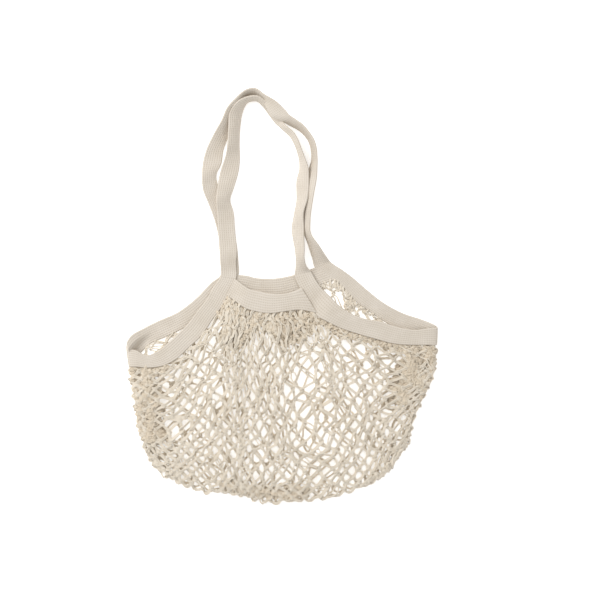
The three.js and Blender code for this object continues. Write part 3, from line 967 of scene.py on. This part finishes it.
# Finishes


def new_group(name, inputs, outputs):
    """An empty node group with its sockets."""
    group = bpy.data.node_groups.new(name, "ShaderNodeTree")
    for label, kind in inputs:
        group.interface.new_socket(label, in_out="INPUT", socket_type=kind)
    for label, kind in outputs:
        group.interface.new_socket(label, in_out="OUTPUT", socket_type=kind)
    enter = group.nodes.new("NodeGroupInput")
    leave = group.nodes.new("NodeGroupOutput")
    return group, enter, leave


class Nodes:
    """Short ways to place and join nodes in one tree."""

    def __init__(self, tree):
        self.tree = tree

    def add(self, kind, **settings):
        node = self.tree.nodes.new(kind)
        for key, value in settings.items():
            setattr(node, key, value)
        return node

    def link(self, a, b):
        self.tree.links.new(a, b)

    def math(self, operation, *values):
        node = self.add("ShaderNodeMath", operation=operation)
        for k, value in enumerate(values):
            if isinstance(value, (int, float)):
                node.inputs[k].default_value = value
            else:
                self.link(value, node.inputs[k])
        return node.outputs[0]

    def noise(self, vector, scale, detail, roughness=0.55):
        node = self.add("ShaderNodeTexNoise")
        self.link(vector, node.inputs["Vector"])
        node.inputs["Scale"].default_value = scale
        node.inputs["Detail"].default_value = detail
        node.inputs["Roughness"].default_value = roughness
        return node.outputs["Fac"]


def make_fibre_group():
    """Uneven natural cotton: slow patches of tone, fine flecks, and a fuzzy surface."""
    group, enter, leave = new_group(
        "natural cotton",
        [("Place", "NodeSocketVector"), ("Fuzz", "NodeSocketFloat")],
        [("Tone", "NodeSocketFloat"), ("Height", "NodeSocketFloat")],
    )
    n = Nodes(group)
    place = enter.outputs["Place"]
    patch = n.noise(place, 38, 3)
    fleck = n.noise(place, 900, 4, 0.6)
    fuzz = n.noise(place, 2600, 3, 0.7)
    tone = n.math("ADD", n.math("MULTIPLY", patch, 0.62), n.math("MULTIPLY", fleck, 0.38))
    n.link(tone, leave.inputs["Tone"])
    height = n.math("ADD", n.math("MULTIPLY", fuzz, enter.outputs["Fuzz"]), n.math("MULTIPLY", fleck, 0.3))
    n.link(height, leave.inputs["Height"])
    return group


def make_knit_group():
    """Columns of knitted stitches on the tape's own length and width, and a mask of painted shade in the
    gaps between them.
    """
    group, enter, leave = new_group(
        "knitted wales",
        [("Across", "NodeSocketFloat"), ("Along", "NodeSocketFloat")],
        [("Height", "NodeSocketFloat"), ("Gap Shade", "NodeSocketFloat")],
    )
    n = Nodes(group)
    wale = n.math("FRACT", n.math("MULTIPLY", enter.outputs["Across"], WALES))
    crest = n.math("SINE", n.math("MULTIPLY", wale, math.pi))
    lean = n.math("ABSOLUTE", n.math("SUBTRACT", wale, 0.5))
    count = n.math("DIVIDE", enter.outputs["Along"], STITCH_LENGTH * MM)
    phase = n.math("ADD", count, n.math("MULTIPLY", lean, 1.1))
    stitch = n.math("MULTIPLY_ADD", n.math("SINE", n.math("MULTIPLY", phase, 2 * math.pi)), 0.5, 0.5)
    height = n.math("MULTIPLY", n.math("MULTIPLY_ADD", stitch, 0.6, 0.4), crest)
    n.link(height, leave.inputs["Height"])
    between = n.math("POWER", n.math("SUBTRACT", 1.0, crest), 1.6)
    stitch_gap_shade = n.math("MULTIPLY", between, n.math("POWER", n.math("SUBTRACT", 1.05, stitch), 1.3))
    n.link(stitch_gap_shade, leave.inputs["Gap Shade"])
    return group


def make_twist_group():
    """Plies twisted along a cord, and a mask of painted shade in the grooves between them."""
    group, enter, leave = new_group(
        "twisted plies",
        [("Around", "NodeSocketFloat"), ("Along", "NodeSocketFloat")],
        [("Height", "NodeSocketFloat"), ("Gap Shade", "NodeSocketFloat")],
    )
    n = Nodes(group)
    around = n.math("MULTIPLY", enter.outputs["Around"], 2.0)
    turn = n.math("ADD", around, n.math("DIVIDE", enter.outputs["Along"], PLY_LENGTH * MM))
    ply = n.math("ABSOLUTE", n.math("SINE", n.math("MULTIPLY", turn, math.pi)))
    n.link(n.math("POWER", ply, 0.6), leave.inputs["Height"])
    n.link(n.math("POWER", n.math("SUBTRACT", 1.0, ply), 2.0), leave.inputs["Gap Shade"])
    return group


def cotton_finish(name, pattern, light, deep_tone_and_shade, fuzz, bump, gap_shade_share):
    """A matt cotton finish with a pattern of stitches or plies on its own UV map. Its colour varies in
    random tone, and is painted darker in the pattern's gaps as painted shade.
    """
    material = bpy.data.materials.new(name)
    material.use_nodes = True
    tree = material.node_tree
    tree.nodes.clear()
    n = Nodes(tree)
    out = n.add("ShaderNodeOutputMaterial")
    shader = n.add("ShaderNodeBsdfPrincipled")
    n.link(shader.outputs[0], out.inputs["Surface"])
    shader.inputs["Roughness"].default_value = 0.92
    shader.inputs["Sheen Weight"].default_value = 0.12
    shader.inputs["Sheen Roughness"].default_value = 0.5
    shader.inputs["Specular IOR Level"].default_value = 0.2
    where = n.add("ShaderNodeTexCoord")
    cotton = n.add("ShaderNodeGroup", node_tree=FIBRE)
    cotton.inputs["Fuzz"].default_value = fuzz
    n.link(where.outputs["Object"], cotton.inputs["Place"])
    stitches = n.add("ShaderNodeGroup", node_tree=pattern)
    split = n.add("ShaderNodeSeparateXYZ")
    n.link(where.outputs["UV"], split.inputs[0])
    n.link(split.outputs["X"], stitches.inputs[0])
    n.link(split.outputs["Y"], stitches.inputs[1])
    shade = n.add("ShaderNodeMix", data_type="RGBA")
    tone = n.math("MULTIPLY_ADD", n.math("SUBTRACT", cotton.outputs["Tone"], 0.5), 1.5, 0.3)
    # painted shade: the colour darkens in the gaps between the stitches or plies
    tone_and_gap_shade = n.math("ADD", tone, n.math("MULTIPLY", stitches.outputs["Gap Shade"], gap_shade_share))
    n.link(tone_and_gap_shade, shade.inputs["Factor"])
    shade.inputs["A"].default_value = (*light, 1)
    shade.inputs["B"].default_value = (*deep_tone_and_shade, 1)
    n.link(shade.outputs["Result"], shader.inputs["Base Color"])
    height = n.math("ADD", stitches.outputs["Height"], cotton.outputs["Height"])
    relief = n.add("ShaderNodeBump")
    relief.inputs["Strength"].default_value = bump
    relief.inputs["Distance"].default_value = 0.0005
    n.link(height, relief.inputs["Height"])
    n.link(relief.outputs["Normal"], shader.inputs["Normal"])
    return material


def tape_finish(name, light, deep_tone_and_shade):
    """Knitted cotton, with painted shade as dark dots between the stitches."""
    return cotton_finish(name, KNIT, light, deep_tone_and_shade, fuzz=0.35, bump=0.6, gap_shade_share=1.1)


def cord_finish(name, light, deep_tone_and_shade):
    """Twisted cotton, with painted shade a little darker between the plies."""
    return cotton_finish(name, TWIST, light, deep_tone_and_shade, fuzz=0.4, bump=0.3, gap_shade_share=0.25)


FIBRE = make_fibre_group()
KNIT = make_knit_group()
TWIST = make_twist_group()
TAPE_FINISH = tape_finish("knitted_cotton_tape", (0.742, 0.68, 0.602), (0.565, 0.496, 0.405))
CORD_FINISH = cord_finish("twisted_cotton_cord", (0.815, 0.75, 0.65), (0.71, 0.624, 0.495))
# The back net's cord is painted lighter than the front's: painted light that makes up for the shade the
# front net casts on it.
LIGHTENED_BACK_CORD_FINISH = cord_finish("cotton_cord_of_back_painted_lighter", (0.88, 0.81, 0.70), (0.78, 0.69, 0.555))
# The cord in the tucks and gathers is painted darker and warmer than the same cord elsewhere: painted shade
# of the folds it lies in.
FOLD_SHADED_CORD_FINISH = cord_finish("cotton_cord_painted_fold_shade", (0.77, 0.685, 0.56), (0.66, 0.555, 0.42))


# The bag

FRONT_RIM_LINES = rim_lines(FRONT_RIM_ROWS, FRONT_LEVEL)
BACK_RIM_LINES = rim_lines(BACK_RIM_ROWS, BACK_LEVEL)
tapes = [
    flat_tape("left_side_band_tape", *LEFT_LINES, 3),
    flat_tape("right_side_band_tape", *RIGHT_LINES, 4),
    flat_tape("front_rim_band_tape", *FRONT_RIM_LINES, 5),
    flat_tape("back_rim_band_tape", *BACK_RIM_LINES, 6),
    flat_tape("front_handle_tape", *handle_lines(FRONT_HANDLE, FRONT_LEVEL, "front_end", 1), 7),
    flat_tape("back_handle_tape", *handle_lines(BACK_HANDLE, BACK_LEVEL, "back_end", -1), 8),
]
for piece, length in tapes:
    piece.data.materials.append(TAPE_FINISH)

front_net = Wall("front", FRONT_COLUMNS, FRONT_ROWS, FRONT_SPREAD, 75)
back_net = Wall("back", BACK_COLUMNS, BACK_ROWS, BACK_SPREAD, 32)
front_names = ["front_net_left", "front_net_middle", "front_net_right"]
back_names = ["back_net_left", "back_net_right"]
net_pieces(front_names, front_net, 41, CORD_FINISH, STRAND_RADIUS)
# The back net takes the cord painted lighter, as painted light against the front net's shade.
net_pieces(back_names, back_net, 42, LIGHTENED_BACK_CORD_FINISH, BACK_STRAND_RADIUS)

# Tucks: name, line, the part of it from and to, how far in the tuck starts and how much further it reaches,
# columns and rows, height, the way in, and the seeds of its folds and its strands
TUCKS = [
    ("left_tuck", LEFT_FOLD, (0.02, 0.62), (1.5, 27), (7, 18), TUCK_LEVEL, (1, 0.06), (51, 43)),
    ("left_tuck_under", LEFT_FOLD, (0.03, 0.6), (2.5, 24), (7, 18), LOW_TUCK_LEVEL, (1, 0.06), (57, 49)),
    ("right_tuck", RIGHT_FOLD, (0.02, 0.45), (1.5, 46), (10, 16), TUCK_LEVEL, (-1, -0.1), (52, 44)),
    ("right_tuck_under", RIGHT_FOLD, (0.03, 0.43), (2.5, 40), (9, 16), LOW_TUCK_LEVEL, (-1, -0.1), (58, 50)),
    ("bottom_tuck", BOTTOM, (0.24, 0.57), (9, 12), (3, 26), BOTTOM_TUCK_LEVEL, (0, 1), (53, 45)),
]
# The tucks take the cord painted with the folds' shade.
for name, line, part, depth, meshes, level, inward, (fold_seed, strand_seed) in TUCKS:
    tuck = Tuck(line, part, depth, meshes, level, inward, fold_seed)
    net_pieces([name], tuck, strand_seed, FOLD_SHADED_CORD_FINISH, STRAND_RADIUS)

# Gathers: name, band, its rows from and to, reach, columns and rows, height, and the same two seeds
LEFT_CORNER = LEFT_MARKS["front_corner"]
RIGHT_CORNER = RIGHT_MARKS["front_corner"]
LEFT_END = LEFT_MARKS["fold"] - 1.5
RIGHT_END = RIGHT_MARKS["fold"] - 1.5
GATHERS = [
    ("rim_gather", FRONT_RIM_ROWS, (0.3, 6.7), RIM_REACH, (17, 9), GATHER_LEVEL, (54, 46)),
    ("rim_gather_under", FRONT_RIM_ROWS, (0.4, 6.6), RIM_REACH, (15, 8), LOW_GATHER_LEVEL, (59, 61)),
    ("left_gather", LEFT_BAND, (LEFT_CORNER, 2.6), UPPER_LEFT_REACH, (4, 3), GATHER_LEVEL, (55, 47)),
    ("left_corner_gather", LEFT_BAND, (6.8, LEFT_END), CORNER_REACH, (7, 3), GATHER_LEVEL, (65, 66)),
    ("right_gather", RIGHT_BAND, (RIGHT_CORNER, RIGHT_END), RIGHT_REACH, (20, 3), GATHER_LEVEL, (56, 48)),
]
# The gathers take the cord painted with the folds' shade.
for name, band, part, reach, meshes, level, (fold_seed, strand_seed) in GATHERS:
    gather = Gather(band, part, reach, meshes, level, GATHER_LEAN, 1.0, fold_seed)
    net_pieces([name], gather, strand_seed, FOLD_SHADED_CORD_FINISH, STRAND_RADIUS)

# The net that shows in the corners of the mouth: name, band, its rows from and to, reach, columns and rows,
# lean, how far it is crumpled, and the same two seeds
BACK_CORNER = RIGHT_MARKS["back_corner"]
WINDOW = [BACK_RIM[-1], *RIGHT_BAND[BACK_CORNER : BACK_CORNER - 5 : -1]]
WINDOW_NETS = [
    ("left_window_net", LEFT_BAND, (11.9, 13.9), LEFT_WINDOW_REACH, (2, 2), (0.5, -0.5), 0.1, (69, 70)),
    ("window_gather", WINDOW, (0.2, 1.9), WINDOW_REACH, (7, 1), GATHER_LEAN, 0.1, (60, 62)),
    ("window_bundle", WINDOW, (1.95, 2.75), BUNDLE_REACH, (3, 2), (0.75, -0.8), 0.4, (63, 64)),
    ("window_fringe", WINDOW, (2.8, 4.6), FRINGE_REACH, (6, 1), (0.3, -0.8), 0.2, (67, 68)),
]
# The left window's net takes the back's cord, painted lighter as painted light.
for name, band, part, reach, meshes, lean, crumple, (fold_seed, strand_seed) in WINDOW_NETS:
    gather = Gather(band, part, reach, meshes, WINDOW_LEVEL, lean, crumple, fold_seed)
    on_left = band is LEFT_BAND
    finish = LIGHTENED_BACK_CORD_FINISH if on_left else CORD_FINISH
    net_pieces([name], gather, strand_seed, finish, THIN_STRAND_RADIUS if on_left else BACK_STRAND_RADIUS)

bound = [LEFT_LINES, RIGHT_LINES, FRONT_RIM_LINES, BACK_RIM_LINES]
seam_chain("edge_chain", [mix(net, free[:, :3], CHAIN_INSET) for net, free in bound], CORD_FINISH)


# The floor, the light and the camera, in metres

FLOOR_HALF = 6.0
FLOOR_DEPTH = 0.0004
FLOOR_TONE = 0.93
FLOOR_GLOW = 0.46
WORLD_STRENGTH = 0.63
SENSOR_WIDTH = 36.0
LENS = 85.0
VIEW_WIDTH = 0.8  # the width of the floor that the camera sees
VIEW_MIDDLE = (0.024, -0.00533)
# Soft boxes that face the bag: name, place, size and power
LIGHTS = [
    ("soft_box_left", (-1.1, 0.9, 1.5), 1.4, 28),
    ("soft_box_right", (1.3, -0.5, 1.7), 1.6, 4),
]


def add_floor():
    """A pale floor that glows a little, so that it is as white as the photo's ground."""
    bm = bmesh.new()
    bmesh.ops.create_grid(bm, x_segments=1, y_segments=1, size=FLOOR_HALF)
    mesh = bpy.data.meshes.new("floor")
    bm.to_mesh(mesh)
    bm.free()
    floor = bpy.data.objects.new("floor", mesh)
    floor.location.z = -FLOOR_DEPTH
    bpy.context.scene.collection.objects.link(floor)
    paint = bpy.data.materials.new("pale_floor")
    paint.use_nodes = True
    shader = paint.node_tree.nodes["Principled BSDF"]
    shader.inputs["Base Color"].default_value = (FLOOR_TONE, FLOOR_TONE, FLOOR_TONE, 1)
    shader.inputs["Roughness"].default_value = 0.9
    shader.inputs["Specular IOR Level"].default_value = 0.0
    shader.inputs["Emission Color"].default_value = (1, 1, 1, 1)
    shader.inputs["Emission Strength"].default_value = FLOOR_GLOW
    mesh.materials.append(paint)


def add_light(name, place, size, power):
    """A square soft box that faces the bag."""
    data = bpy.data.lights.new(name, "AREA")
    data.shape = "SQUARE"
    data.size = size
    data.energy = power
    light = bpy.data.objects.new(name, data)
    light.location = place
    light.rotation_mode = "QUATERNION"
    light.rotation_quaternion = (-Vector(place)).to_track_quat("-Z", "Y")
    bpy.context.scene.collection.objects.link(light)


def add_world():
    """Even white light from all round."""
    world = bpy.data.worlds.new("studio")
    world.use_nodes = True
    world.node_tree.nodes["Background"].inputs["Color"].default_value = (1, 1, 1, 1)
    world.node_tree.nodes["Background"].inputs["Strength"].default_value = WORLD_STRENGTH
    bpy.context.scene.world = world


def add_camera():
    """A camera straight above, as high as its lens needs to see the view's width."""
    data = bpy.data.cameras.new("camera")
    data.sensor_width = SENSOR_WIDTH
    data.lens = LENS
    camera = bpy.data.objects.new("camera", data)
    camera.location = (*VIEW_MIDDLE, VIEW_WIDTH * LENS / SENSOR_WIDTH)
    bpy.context.scene.collection.objects.link(camera)
    bpy.context.scene.camera = camera


add_floor()
for light in LIGHTS:
    add_light(*light)
add_world()
add_camera()
bpy.context.scene.view_settings.view_transform = "Standard"
